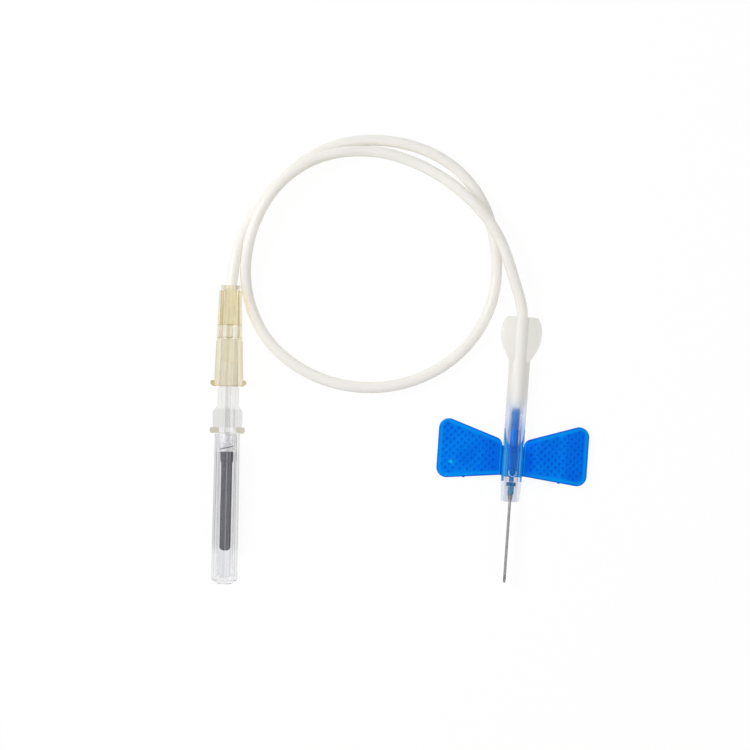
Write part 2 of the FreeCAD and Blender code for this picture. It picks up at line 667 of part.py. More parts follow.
def rear_cap():
    """Clear ribbed cap, open at the adapter and closed by a crowned end."""
    lug_end, boss_end, _ = adapter_stations()
    mouth = lug_end - 2 * SEAT_GAP
    end = mouth - CAP_LENGTH
    corner = end + CAP_END_CROWN
    body = turned([(0, mouth), (CAP_MOUTH_DIA / 2, mouth), (CAP_END_DIA / 2, corner),
                   (CAP_END_FLAT_DIA / 2, end), (0, end)])
    drop = CAP_RIB_HEIGHT
    rib_profile = [(0, mouth), (CAP_MOUTH_DIA / 2 + drop, mouth), (CAP_END_DIA / 2 + drop, corner),
                   (CAP_END_FLAT_DIA / 2, end), (0, end)]
    rib = prism(rib_profile, -CAP_RIB_WIDTH / 2, CAP_RIB_WIDTH)
    body = body.multiFuse(copies_about_axis(rib, CAP_RIBS))
    seat = BOSS_DIA / 2 + SEAT_GAP
    bottom = end + CAP_END_WALL
    cavity = turned([(0, mouth + PAST), (seat, mouth + PAST), (seat, boss_end),
                     (CAP_FAR_BORE / 2, bottom + CAP_BORE_CHAMFER),
                     (CAP_FAR_BORE / 2 - CAP_BORE_CHAMFER, bottom), (0, bottom)])
    return one_solid(body.cut(cavity))


def laid(shape, tilt, place):
    """Turns a piece by its half's lean and lays it in its place."""
    piece = shape.copy()
    piece.rotate(V(0, 0, 0), V(0, 0, 1), -tilt)
    piece.translate(place)
    return piece


def needle_place():
    """Where the shield's front end lies."""
    return V(0, 0, SHIELD_DIA / 2)


def luer_place():
    """Where the connector's mouth lies; the adapter's lowest vane rests on the table."""
    widest = max(VANE_DIA, CONNECTOR_MOUTH_DIA, CAP_END_DIA + 2 * CAP_RIB_HEIGHT)
    return V(LUER_MOUTH_ASIDE, LUER_MOUTH_BEHIND, widest / 2)


def along(tilt, place, station):
    """A point on a half's axis."""
    lean = math.radians(tilt)
    return place + V(math.sin(lean), math.cos(lean), 0) * station


def tube_route():
    """Points of the free tubing, from inside the grip to the bottom of the connector's socket."""
    exit_bend = SHIELD_LENGTH + EXIT_RUN
    points = [along(NEEDLE_TILT, needle_place(), exit_bend - LEAD_RUN),
              along(NEEDLE_TILT, needle_place(), exit_bend)]
    for angle, radius, height in LOOP_ROUTE:
        turn = math.radians(angle)
        points.append(V(LOOP_ASIDE + radius * math.cos(turn), LOOP_BEHIND + radius * math.sin(turn), height))
    points.append(along(LUER_TILT, luer_place(), CONNECTOR_LENGTH + CONNECTOR_RUN))
    points.append(along(LUER_TILT, luer_place(), CONNECTOR_LENGTH - SOCKET_DEPTH))
    return points


def rounded_path(lead, points):
    """A straight lead and straight runs joined by tangent arcs, and the list of the arcs' radii."""
    edges = []
    radii = []
    start = lead
    for before, corner, after in zip(points, points[1:], points[2:]):
        arrive = (corner - before).normalize()
        leave = (after - corner).normalize()
        half = arrive.getAngle(leave) / 2
        cut = BEND_SHARE * min((corner - before).Length, (after - corner).Length)
        radius = cut / math.tan(half)
        first = corner - arrive * cut
        last = corner + leave * cut
        inward = (leave - arrive).normalize()
        middle = corner + inward * (radius / math.cos(half) - radius)
        edges.append(Part.LineSegment(start, first).toShape())
        edges.append(Part.Arc(first, middle, last).toShape())
        radii.append(round(radius, 1))
        start = last
    edges.append(Part.LineSegment(start, points[-1]).toShape())
    return Part.Wire(edges), radii


def tubing():
    """Soft tube, hollow along the whole of its length, from the hub's shoulder to the connector."""
    _, _, shoulder, _ = hub_stations()
    start = along(NEEDLE_TILT, needle_place(), shoulder)
    points = tube_route()
    path, radii = rounded_path(start, points)
    walls = []
    for diameter in (TUBE_DIA, TUBE_BORE):
        ring = Part.Wire(Part.makeCircle(diameter / 2, start, points[1] - points[0]))
        walls.append(path.makePipeShell([ring], True, False))
    tube = walls[0].cut(walls[1])
    section = math.pi * (TUBE_DIA ** 2 - TUBE_BORE ** 2) / 4
    print("tube radii", radii)
    print("tube length %.1f, volume %.1f, section by length %.1f" % (path.Length, tube.Volume,
                                                                     section * path.Length))
    return tube.Solids[0]


def build():
    """All pieces by name, laid in place with the origin under the middle of the set."""
    right = wing()
    needle_side = {
        "front_cannula": front_cannula(),
        "hub_glue": hub_glue(),
        "needle_hub": needle_hub(),
        "needle_shield": shield(),
        "wing_collar": wing_collar(),
        "right_wing": right,
        "left_wing": mirrored(right),
    }
    luer_side = {
        "luer_connector": luer_connector(),
        "luer_adapter": luer_adapter(),
        "adapter_glue": adapter_glue(),
        "rear_cannula": rear_cannula(),
        "rubber_sleeve": rubber_sleeve(),
        "rear_cap": rear_cap(),
    }
    pieces = {}
    for name, shape in needle_side.items():
        pieces[name] = laid(shape, NEEDLE_TILT, needle_place())
    for name, shape in luer_side.items():
        pieces[name] = laid(shape, LUER_TILT, luer_place())
    box = FreeCAD.BoundBox()
    for shape in pieces.values():
        box.add(shape.optimalBoundingBox(False, False))
    shift = V(-box.Center.x, -box.Center.y, -box.ZMin)
    pieces["tubing"] = tubing()
    for shape in pieces.values():
        shape.translate(shift)
    return pieces, shift


def main():
    pieces, shift = build()
    os.makedirs("parts", exist_ok=True)
    for name, shape in pieces.items():
        shape.exportStep("parts/%s.step" % name)
        print("%-16s solids %d valid %s volume %.2f" % (name, len(shape.Solids), shape.isValid(), shape.Volume))
    print("shift", shift)


if __name__ == "__main__":
    main()
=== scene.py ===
import json
import math
from typing import NamedTuple
import bpy
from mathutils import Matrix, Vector

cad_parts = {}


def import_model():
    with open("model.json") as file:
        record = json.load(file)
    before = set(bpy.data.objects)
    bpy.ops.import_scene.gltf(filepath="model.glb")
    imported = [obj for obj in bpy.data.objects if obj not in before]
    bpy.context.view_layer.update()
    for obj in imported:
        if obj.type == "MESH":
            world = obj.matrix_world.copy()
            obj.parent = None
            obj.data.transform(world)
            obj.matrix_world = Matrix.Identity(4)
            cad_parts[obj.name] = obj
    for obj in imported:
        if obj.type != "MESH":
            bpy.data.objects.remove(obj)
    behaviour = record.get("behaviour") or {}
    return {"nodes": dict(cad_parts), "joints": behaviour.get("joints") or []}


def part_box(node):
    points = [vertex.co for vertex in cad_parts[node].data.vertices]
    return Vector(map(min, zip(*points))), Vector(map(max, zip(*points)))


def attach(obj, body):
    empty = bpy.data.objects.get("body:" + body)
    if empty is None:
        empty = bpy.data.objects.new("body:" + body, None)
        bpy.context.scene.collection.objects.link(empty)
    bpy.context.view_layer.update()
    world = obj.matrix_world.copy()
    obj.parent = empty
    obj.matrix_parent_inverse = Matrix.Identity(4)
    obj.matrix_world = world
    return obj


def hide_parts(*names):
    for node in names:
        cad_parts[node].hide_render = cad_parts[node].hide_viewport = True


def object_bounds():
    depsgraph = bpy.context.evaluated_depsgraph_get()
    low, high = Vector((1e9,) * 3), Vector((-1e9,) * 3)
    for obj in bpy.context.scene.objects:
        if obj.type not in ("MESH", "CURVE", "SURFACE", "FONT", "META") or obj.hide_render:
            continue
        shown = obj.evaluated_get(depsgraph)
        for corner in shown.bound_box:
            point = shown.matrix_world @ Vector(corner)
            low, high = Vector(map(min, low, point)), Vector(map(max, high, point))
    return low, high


# The looks of a winged needle set that lies on a table and is seen from straight above.
# Lengths are in metres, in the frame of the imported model. Colours are linear red, green and blue.
# A pair of colours goes from dark to light. A pair named FADE is where a change starts and where it is full.

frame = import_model()
cad_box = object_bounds()

MM = 0.001
UP = (0, 0, 1)
WHITE = (1, 1, 1)
NOISE_DETAIL = 2.0
DEFAULTS = ("Cube", "Light", "Camera")      # what an empty Blender file comes with

# Camera: the photograph's scale holds at the height of the shield's axis
PICTURE_SIDE = 750
PIXELS_PER_METRE = 4350
FRONT_PIXEL = (509.8, 501.5)      # the shield's front end in the photograph
CAMERA_HEIGHT = 0.5
SENSOR = 36.0
CLIP_START = 0.01

# Studio
WORLD_LIGHT = 0.5                 # the world as a light; the next three are how it is seen
HORIZON_LIGHT = 0.4
ZENITH_LIGHT = 0.7
HORIZON_HEIGHT = 0.6
KEY_POWER = 1.5
KEY_PLACE = (-0.36, 0.16, 0.34)
KEY_SIDE = 0.16
FILL_POWER = 0.3
FILL_PLACE = (0.3, -0.1, 0.35)
FILL_SIDE = 0.3
FLOOR_SIDE = 3.0
FLOOR_DROP = 0.00002
FLOOR_WHITE = 0.85                # as a light on the object
FLOOR_GLOW = 0.92                 # where it is seen, and the share that takes a shadow
FLOOR_LIT = 0.085

# Needle half: stations back from the shield's front end
SHIELD_LENGTH = 0.0425
FLANGE = (0.0036, 0.0044)
NECK_REAR = 0.0058
LATCH_STATION = 0.0067
LATCH_HIGHLIGHT_RADII = (0.00076, 0.00096)   # radii of the painted highlight on the window's edge
HUB_SHOULDER = 0.0166
SPIGOT_END = 0.0215
COLLAR_FOOT = (0.00585, 0.01275)  # the stations where the collar has its foot

# Luer half: stations from the connector's mouth, positive towards the tubing
LUER_MOUTH = Vector((-0.0646, 0.0265, 0))      # from the shield's front end
CONNECTOR_LENGTH = 0.0231
SOCKET_DEPTH = 0.009
LEDGE_STATION = 0.0112
ADAPTER_REACH = 0.0054            # how far the adapter's nozzle reaches into the connector
BODY_SLOPE = 0.0337               # the connector's taper, as loss of radius over length
ADAPTER_VANES = (-0.00945, -0.0052)
ADAPTER_LUGS = (-0.01085, -0.00945)
BOSS_THREAD_SHADOW = -0.01403              # the painted thread shadow's middle, a dark line
BOSS_THREAD_SHADOW_SLOPE = 0.26
SLEEVE_FRONT = -0.0151
CAP_BORE_END = -0.0439

# Tubing
TUBE_DIA = 0.0025
LOOP_CENTRE = Vector((-0.03215, 0.05485, 0))
EXIT_RUN = 0.0015
LEAD_RUN = 0.0055
CONNECTOR_RUN = 0.0036
TUBE_FLOOR = TUBE_DIA / 2
LOOP_ROUTE = [                    # angle about the loop's centre in degrees, radius, height of the middle
    (-9.0, 0.0341, 0.00275),
    (12.5, 0.0305, 0.00385),
    (33.5, 0.0274, 0.0038),
    (59.0, 0.0258, 0.0022),
    (86.5, 0.0262, 0.0023),
    (114.5, 0.0275, 0.0036),
    (141.0, 0.0284, 0.00405),
    (169.0, 0.0288, 0.0037),
    (195.0, 0.0299, 0.00145),
    (221.5, 0.0304, TUBE_FLOOR),
    (250.5, 0.0297, TUBE_FLOOR),
    (279.5, 0.0296, TUBE_FLOOR),
    (308.5, 0.0301, TUBE_FLOOR),
    (336.0, 0.0304, TUBE_FLOOR),
    (361.5, 0.0299, TUBE_FLOOR),
    (389.5, 0.0304, TUBE_FLOOR),
    (415.0, 0.0301, TUBE_FLOOR),
    (443.5, 0.0292, TUBE_FLOOR),
    (471.5, 0.0290, TUBE_FLOOR),
    (498.5, 0.0284, TUBE_FLOOR),
    (523.0, 0.0300, TUBE_FLOOR),
]

# Wing, across from the shield's axis and back from its front end
WING_REACH = 0.01735
WING_ROOT = 0.00296
WING_FRONT_EDGE = (0.00585, 0.0042)     # stations at the root and at the tip
WING_REAR_EDGE = (0.0142, 0.0190)
WING_CORNER = 0.0023
DISH = (0.0090, 0.0104)
DISH_RADIUS = 0.00295
PIT_START = (0.01605, 0.0042)           # the pits' lattice starts here, at the tip
PIT_STEP = 0.00084
PIT_MARGIN = 0.0012
MOULD_DOT = (-0.0141, 0.0082)
MOULD_DOT_RADIUS = 0.00046
MOULD_RING_RADIUS = 0.00092


# Places from the frame

class Line(NamedTuple):
    """A line of pieces on the table: its direction, the direction to its right and its start."""
    axis: Vector
    side: Vector
    origin: Vector


def shield_front():
    """The middle of the shield's front end: halfway between the wings' hinges, at the axis' height."""
    hinges = [Vector(joints[name]["pos_m"]) for name in ("right_wing_fold", "left_wing_fold")]
    middle = (hinges[0] + hinges[1]) / 2
    low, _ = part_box("needle_shield")
    _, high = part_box("wing_collar")
    return Vector((middle.x, middle.y, (low.z + high.z) / 2))


def luer_mouth():
    """The middle of the luer connector's mouth."""
    low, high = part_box("luer_connector")
    place = shield_front() + LUER_MOUTH
    return Vector((place.x, place.y, (low.z + high.z) / 2))


def line(axis, origin):
    """The line that starts at a place and runs along an axis."""
    return Line(axis, Vector((axis.y, -axis.x, 0)), origin)


joints = {joint["name"]: joint for joint in frame["joints"]}
NEEDLE = line(Vector(joints["left_wing_fold"]["axis"]), shield_front())
LUER = line(-Vector(joints["cap_pull"]["axis"]), luer_mouth())


# Node trees

class Tree:
    """The node tree of a material or of the world, with short calls for the nodes in it."""

    def __init__(self, owner):
        owner.use_nodes = True
        self.nodes = owner.node_tree.nodes
        self.links = owner.node_tree.links
        self.nodes.clear()

    def feed(self, socket, value):
        """Links a socket to another, or sets its value."""
        if isinstance(value, bpy.types.NodeSocket):
            self.links.new(value, socket)
        elif socket.type == "RGBA":
            socket.default_value = (*value, 1.0)
        else:
            socket.default_value = value

    def fill(self, node, **values):
        """Feeds a node's inputs by name, with underscores for spaces."""
        for name, value in values.items():
            self.feed(node.inputs[name.replace("_", " ")], value)
        return node

    def add(self, kind, *values, **settings):
        """A new node with its settings, and its first inputs fed in order."""
        node = self.nodes.new("ShaderNode" + kind)
        for name, value in settings.items():
            setattr(node, name, value)
        for socket, value in zip(node.inputs, values):
            self.feed(socket, value)
        return node

    def calc(self, operation, *values, clamp=False):
        """The result of a Math node."""
        return self.add("Math", *values, operation=operation, use_clamp=clamp).outputs[0]

    def chain(self, operation, *values):
        """The result of Math nodes that take the values one after the other."""
        total = values[0]
        for value in values[1:]:
            total = self.calc(operation, total, value)
        return total

    def times(self, *values):
        """The product of masks or numbers."""
        return self.chain("MULTIPLY", *values)

    def most(self, *values):
        """The greatest of masks or numbers."""
        return self.chain("MAXIMUM", *values)

    def blend(self, share, first, second):
        """A number between two."""
        node = self.add("Mix", data_type="FLOAT")
        self.feed(node.inputs[0], share)
        self.feed(node.inputs[2], first)
        self.feed(node.inputs[3], second)
        return node.outputs[0]

    def background(self):
        """1 for rays that show the background, and 0 for rays that light the object."""
        path = self.add("LightPath").outputs
        return self.most(path["Is Camera Ray"], path["Is Glossy Ray"], path["Is Transmission Ray"])


class Looks(Tree):
    """One material: a Principled surface, and short calls for the masks and colours that feed it."""

    def __init__(self, name, **settings):
        self.material = bpy.data.materials.new(name)
        super().__init__(self.material)
        self.surface = self.add("BsdfPrincipled")
        self.output = self.add("OutputMaterial", self.surface.outputs[0])
        self.set(**settings)

    def set(self, **settings):
        """Sets sockets of the surface by name, with underscores for spaces."""
        self.fill(self.surface, **settings)

    def vector(self, operation, *values):
        """The result of a Vector Math node."""
        node = self.add("VectorMath", *values, operation=operation)
        return node.outputs["Value" if operation in ("DOT_PRODUCT", "LENGTH") else "Vector"]

    def place(self):
        """The point in the piece's own frame."""
        return self.add("TexCoord").outputs["Object"]

    def along(self, direction, origin):
        """How far the point lies along a direction from an origin, in metres."""
        offset = self.vector("SUBTRACT", self.place(), tuple(origin))
        return self.vector("DOT_PRODUCT", offset, tuple(direction))

    def station(self, where):
        """How far the point lies along a line."""
        return self.along(where.axis, where.origin)

    def side(self, where):
        """How far it lies to the right of a line, or to the left if below 0."""
        return self.along(where.side, where.origin)

    def across(self, where):
        """How far it lies to either side of a line."""
        return self.calc("ABSOLUTE", self.side(where))

    def height(self, where):
        """How far it lies above a line."""
        return self.along(UP, where.origin)

    def distance(self, centre):
        """How far it lies from a centre, seen from above."""
        flat = self.vector("MULTIPLY", self.place(), (1, 1, 0))
        return self.vector("LENGTH", self.vector("SUBTRACT", flat, (centre.x, centre.y, 0)))

    def length(self, *parts):
        """The length of a vector with these parts."""
        return self.vector("LENGTH", self.add("CombineXYZ", *parts).outputs[0])

    def step(self, value, low, high):
        """From 0 at low to 1 at high, smoothly. Low may be the greater of the two."""
        node = self.add("MapRange", interpolation_type="SMOOTHSTEP")
        return self.fill(node, Value=value, From_Min=low, From_Max=high).outputs["Result"]

    def band(self, value, low, high, soft):
        """1 between low and high and 0 outside, with soft edges."""
        rise = self.step(value, low - soft, low + soft)
        fall = self.step(value, high - soft, high + soft)
        return self.calc("SUBTRACT", rise, fall, clamp=True)

    def mix(self, share, first, second):
        """A colour between two."""
        node = self.add("Mix", data_type="RGBA")
        self.feed(node.inputs[0], share)
        self.feed(node.inputs[6], first)
        self.feed(node.inputs[7], second)
        return node.outputs[2]

    def noise(self, size, where=None, detail=NOISE_DETAIL):
        """Noise from 0 to 1 with features of about one size."""
        node = self.add("TexNoise")
        self.fill(node, Vector=self.place() if where is None else where, Scale=1 / size, Detail=detail)
        return node.outputs["Fac"]

    def drawn(self, where, stretch):
        """Coordinates that are squeezed along a line, so that noise runs in long streaks."""
        length = self.calc("MULTIPLY", self.station(where), 1 / stretch)
        return self.add("CombineXYZ", self.side(where), length, self.height(where)).outputs[0]

    def stripes(self, where, size):
        """Noise that changes only across a line, as straight stripes along it."""
        node = self.add("TexNoise", noise_dimensions="1D")
        self.fill(node, W=self.side(where), Scale=1 / size, Detail=NOISE_DETAIL)
        return node.outputs["Fac"]

    def bump(self, height, depth):
        """Roughens the surface with a height from 0 to 1."""
        node = self.fill(self.add("Bump"), Distance=depth, Height=height)
        self.set(Normal=node.outputs[0])

    def lets_lamps_through(self, tint):
        """Lamps reach what is behind the surface, in the colour of the tint."""
        clear = self.add("BsdfTransparent", tint)
        shadow = self.add("LightPath").outputs["Is Shadow Ray"]
        mix = self.add("MixShader", shadow, self.surface.outputs[0], clear.outputs[0])
        self.links.new(mix.outputs[0], self.output.inputs["Surface"])


def dress(node, looks):
    """Gives a CAD node its material."""
    piece = frame["nodes"][node]
    piece.data.materials.clear()
    piece.data.materials.append(looks.material)


# Steel and glue

STEEL = ((0.28, 0.27, 0.272), (0.36, 0.35, 0.35))
STEEL_STAIN = (0.25, 0.235, 0.22)
STEEL_ROUGHNESS = (0.32, 0.46)
STEEL_STRETCH = 60
STAIN_FADE = (0.5, 0.8)
HUB_GLUE = ((0.25, 0.22, 0.19), (0.42, 0.39, 0.36))
ADAPTER_GLUE = ((0.7, 0.7, 0.7), (0.9, 0.9, 0.9))
GLUE_LAMPS = (0.7, 0.68, 0.65)


def steel(name, where):
    """Drawn steel with fine lines along it and a few stains."""
    looks = Looks(name, Metallic=1.0, IOR=2.5)
    lines = looks.noise(0.05 * MM, looks.drawn(where, STEEL_STRETCH))
    stain = looks.step(looks.noise(1.2 * MM), *STAIN_FADE)
    looks.set(Base_Color=looks.mix(stain, looks.mix(lines, *STEEL), STEEL_STAIN))
    looks.set(Roughness=looks.blend(lines, *STEEL_ROUGHNESS))
    looks.bump(lines, 0.004 * MM)
    return looks


def glue(name, colours, transmission):
    """Cured glue with tiny bubbles."""
    looks = Looks(name, Roughness=0.18, IOR=1.5, Transmission_Weight=transmission)
    bubbles = looks.noise(0.25 * MM)
    looks.set(Base_Color=looks.mix(bubbles, *colours))
    looks.bump(bubbles, 0.02 * MM)
    looks.lets_lamps_through(GLUE_LAMPS)
    return looks


# Hub

HUB_NOSE = ((0.055, 0.215, 0.32), (0.085, 0.26, 0.38))
HUB_NECK = ((0.03, 0.20, 0.40), (0.045, 0.24, 0.46))
# painted shade on the hub where the collar covers it
HUB_SHADE_UNDER_COLLAR = ((0.02, 0.175, 0.38), (0.03, 0.20, 0.43))
HUB_BARE = ((0.0, 0.25, 0.70), (0.0, 0.30, 0.78))
# painted highlights along the barrel's flanks
HUB_SIDE_HIGHLIGHTS = ((0.03, 0.32, 0.68), (0.10, 0.39, 0.76))
HUB_FLANGE = (0.0, 0.13, 0.27)
HUB_GAPS = (0.42, 0.54, 0.68)
HUB_LAMPS = (0.45, 0.6, 0.8)
BARE_FADE = (COLLAR_FOOT[1] - 0.5 * MM, COLLAR_FOOT[1] + 1.5 * MM)
SIDE_HIGHLIGHTS_FADE = (COLLAR_FOOT[1], COLLAR_FOOT[1] + 4 * MM)
SIDE_HIGHLIGHTS_ACROSS_FADE = (0.4 * MM, 0.85 * MM)
ROUND_FLANGE = (FLANGE[0] - 0.2 * MM, FLANGE[1] + 0.3 * MM)
NECK_FADE = (FLANGE[1] - 0.1 * MM, FLANGE[1] + 0.1 * MM)
BARREL_FADE = (NECK_REAR - 0.3 * MM, NECK_REAR)


def hub_plastic():
    """Tinted hub: teal at its nose and flange, a strong blue along its barrel and spigot, with painted
    highlights along the barrel's flanks and painted shade under the collar.
    """
    looks = Looks("hub_tint", Roughness=0.4, IOR=1.45, Specular_IOR_Level=0.2, Transmission_Weight=0.1)
    station = looks.station(NEEDLE)
    cloud = looks.noise(1.5 * MM)
    nose = looks.mix(cloud, *HUB_NOSE)
    neck = looks.mix(cloud, *HUB_NECK)
    # painted shade under the collar
    shaded_under_collar = looks.mix(cloud, *HUB_SHADE_UNDER_COLLAR)
    bare = looks.mix(cloud, *HUB_BARE)
    barrel = looks.mix(looks.step(station, *BARE_FADE), shaded_under_collar, bare)
    # painted highlights along the barrel's flanks
    sides = looks.mix(looks.step(station, *SIDE_HIGHLIGHTS_FADE), *HUB_SIDE_HIGHLIGHTS)
    barrel = looks.mix(looks.step(looks.across(NEEDLE), *SIDE_HIGHLIGHTS_ACROSS_FADE), barrel, sides)
    flange = looks.band(station, *FLANGE, soft=0.06 * MM)
    round_flange = looks.band(station, *ROUND_FLANGE, soft=0.06 * MM)
    gaps = looks.calc("SUBTRACT", round_flange, flange, clamp=True)
    colour = looks.mix(looks.step(station, *NECK_FADE), nose, neck)
    colour = looks.mix(looks.times(gaps, 0.6), colour, HUB_GAPS)
    colour = looks.mix(flange, colour, HUB_FLANGE)
    looks.set(Base_Color=looks.mix(looks.step(station, *BARREL_FADE), colour, barrel))
    looks.bump(cloud, 0.02 * MM)
    looks.lets_lamps_through(HUB_LAMPS)
    return looks


# Wings

WING_BODY = ((0.0, 0.18, 0.82), (0.0, 0.23, 0.89))
WING_OUTER = (0.0, 0.145, 0.78)         # the right wing towards its tip
WING_INNER = (0.0, 0.165, 0.79)         # the left wing towards its root
# painted shade in the pits: a dark hollow in each, and a darker crescent on one side
WING_PIT_SHADE = (0.0, 0.125, 0.74)
WING_CRESCENT_SHADE = (0.0, 0.12, 0.73)
WING_RIM = (0.0, 0.315, 0.93)
# painted shade along the wing's rounded edge
WING_EDGE_SHADE = (0.0, 0.125, 0.72)
# painted light on the hinge bead, brightened against the shade of its groove
WING_HINGE_LIGHT = (0.0, 0.48, 1.0)
MOULD_RING_BLUE = (0.0, 0.36, 0.9)
MOULD_DOT_BLUE = (0.0, 0.5, 0.92)
CLOUD_FADE = (0.35, 0.65)
OUTER_FADE = (11.2 * MM, 13 * MM)
INNER_FADE = (9 * MM, 5 * MM)
DISH_FADE = (DISH_RADIUS + 0.5 * MM, DISH_RADIUS - 0.3 * MM)
RIM = (0.35 * MM, 0.95 * MM)            # from the wing's edge
EDGE_SHADE_FADE = (0.32 * MM, 0.08 * MM)
HINGE_LIGHT_FADE = (WING_ROOT + 0.02 * MM, WING_ROOT - 0.05 * MM)
PIT_MARGIN_FADE = (PIT_MARGIN - 0.04 * MM, PIT_MARGIN + 0.01 * MM)
PIT_ROOT_FADE = (WING_ROOT + 0.6 * MM, WING_ROOT + 0.7 * MM)
PIT_FADE = (0.49, 0.28)                 # radii of a pit's painted shade, as shares of the pits' pitch
CRESCENT_SHIFT = 0.13
MOULD_DOT_FADE = (MOULD_DOT_RADIUS * 1.25, MOULD_DOT_RADIUS * 0.8)
MOULD_RING = (MOULD_RING_RADIUS * 0.92, MOULD_RING_RADIUS * 1.08)


def wing_edge_distance(looks, across, station):
    """How far a place lies inside the wing's front, rear and tip edges and its round corners."""
    span = WING_REACH - WING_ROOT
    distances = []
    for (root, tip), direction in ((WING_FRONT_EDGE, 1), (WING_REAR_EDGE, -1)):
        rise = (tip - root) / span
        edge = looks.calc("ADD", looks.times(looks.calc("SUBTRACT", across, WING_ROOT), rise), root)
        distances.append(looks.times(looks.calc("SUBTRACT", station, edge), direction / math.hypot(1, rise)))
    nearest = looks.calc("MINIMUM", *distances)
    tip = looks.calc("SUBTRACT", WING_REACH, across)
    past = [looks.most(looks.calc("SUBTRACT", WING_CORNER, edge), 0.0) for edge in (nearest, tip)]
    corner = looks.calc("SUBTRACT", WING_CORNER, looks.length(*past))
    return looks.chain("MINIMUM", nearest, tip, corner)


def painted_pit_shade(looks, across, station):
    """Two masks of painted shade in the pits: a soft dark hollow in each, and a shaded crescent on the side of
    the root.
    """
    steps = [looks.times(looks.calc("SUBTRACT", PIT_START[0], across), 0.5 / PIT_STEP),
             looks.times(looks.calc("SUBTRACT", station, PIT_START[1]), 0.5 / PIT_STEP)]
    turned = [looks.calc("ADD", *steps), looks.calc("SUBTRACT", *steps)]
    nearest = [looks.calc("ROUND", value) for value in turned]
    offset = [looks.calc("SUBTRACT", value, whole) for value, whole in zip(turned, nearest)]
    pit_across = looks.calc("SUBTRACT", PIT_START[0], looks.times(looks.calc("ADD", *nearest), PIT_STEP))
    pit_station = looks.calc("ADD", PIT_START[1], looks.times(looks.calc("SUBTRACT", *nearest), PIT_STEP))
    there = looks.times(looks.step(wing_edge_distance(looks, pit_across, pit_station), *PIT_MARGIN_FADE),
                        looks.step(pit_across, *PIT_ROOT_FADE))
    blobs = []
    for shift in (0.0, CRESCENT_SHIFT):
        radius = looks.length(*[looks.calc("ADD", value, shift) for value in offset])
        blobs.append(looks.step(radius, *PIT_FADE))
    hollow_shade = looks.times(blobs[0], there)
    crescent_shade = looks.times(looks.calc("SUBTRACT", *blobs, clamp=True), there)
    return hollow_shade, crescent_shade


def mould_dot(looks, colour):
    """The pale mark that the mould's ejector leaves, with a faint ring round it."""
    across, station = MOULD_DOT
    length = looks.distance(NEEDLE.origin + NEEDLE.side * across + NEEDLE.axis * station)
    ring = looks.band(length, *MOULD_RING, soft=0.12 * MM)
    colour = looks.mix(looks.times(ring, 0.3), colour, MOULD_RING_BLUE)
    return looks.mix(looks.step(length, *MOULD_DOT_FADE), colour, MOULD_DOT_BLUE)


def wing_vinyl(name, sign):
    """Soft blue vinyl: a fine dark edge of painted shade, a lighter rim, pits darkened with painted shade,
    painted light on the hinge, and cloudy patches.
    """
    looks = Looks(name, Roughness=0.5, IOR=1.45, Specular_IOR_Level=0.035)
    across = looks.along(NEEDLE.side * sign, NEEDLE.origin)
    station = looks.station(NEEDLE)
    inside = wing_edge_distance(looks, across, station)
    cloud = looks.step(looks.noise(4.5 * MM, detail=1.0), *CLOUD_FADE)
    body = looks.mix(cloud, *WING_BODY)
    hollow_shade, crescent_shade = painted_pit_shade(looks, across, station)
    if sign > 0:
        outer = looks.step(across, *OUTER_FADE)
        body = looks.mix(looks.times(outer, 0.8), body, WING_OUTER)
        hollow_shade = looks.times(hollow_shade, looks.blend(outer, 1.0, 0.4))
    else:
        body = looks.mix(looks.step(across, *INNER_FADE), body, WING_INNER)
    dish = looks.length(looks.calc("SUBTRACT", across, DISH[0]), looks.calc("SUBTRACT", station, DISH[1]))
    dish = looks.step(dish, *DISH_FADE)
    # painted shade in the pits: the hollows fainter and the crescents stronger inside the dish
    colour = looks.mix(looks.times(hollow_shade, looks.blend(dish, 0.35, 0.15)), body, WING_PIT_SHADE)
    colour = looks.mix(looks.times(crescent_shade, looks.blend(dish, 0.1, 0.5)), colour, WING_CRESCENT_SHADE)
    colour = looks.mix(looks.times(looks.band(inside, *RIM, soft=0.3 * MM), 0.8), colour, WING_RIM)
    # painted shade along the wing's rounded edge
    colour = looks.mix(looks.step(inside, *EDGE_SHADE_FADE), colour, WING_EDGE_SHADE)
    # painted light on the hinge bead
    colour = looks.mix(looks.step(across, *HINGE_LIGHT_FADE), colour, WING_HINGE_LIGHT)
    if sign < 0:
        colour = mould_dot(looks, colour)
    looks.set(Base_Color=colour)
    looks.surface.subsurface_method = "RANDOM_WALK"
    looks.set(Subsurface_Weight=0.08, Subsurface_Radius=(0.1, 0.35, 1.0), Subsurface_Scale=0.4 * MM)
    looks.bump(looks.noise(0.35 * MM), 0.012 * MM)
    return looks


# Collar

# the thin vinyl's blues, with painted refraction streaks along the shield
COLLAR_THIN = ((0.20, 0.64, 0.97), (0.30, 0.73, 0.99))
COLLAR_TIPS = (0.15, 0.36, 0.65)
COLLAR_SOLID = ((0.0, 0.24, 0.74), (0.0, 0.24, 0.84))      # the foot, from the left side to the right
COLLAR_LAMPS = (0.4, 0.65, 0.95)
# painted highlight round the latch window
RING_HIGHLIGHT_BLUE = (0.45, 0.66, 0.92)
FOOT_ACROSS_FADE = (2.0 * MM, 2.15 * MM)
FOOT_SIDE_FADE = (-1 * MM, 1 * MM)
FRONT_TIPS_FADE = (COLLAR_FOOT[0] + 0.1 * MM, COLLAR_FOOT[0] - 0.1 * MM)
REAR_TIPS_FADE = (COLLAR_FOOT[1] + 0.3 * MM, COLLAR_FOOT[1] + 1.8 * MM)
HIGHLIGHT_HEIGHT_FADE = (1.0 * MM, 1.6 * MM)
HIGHLIGHT_REAR_FADE = (0.75 * MM, 0.1 * MM)  # from the latch's middle


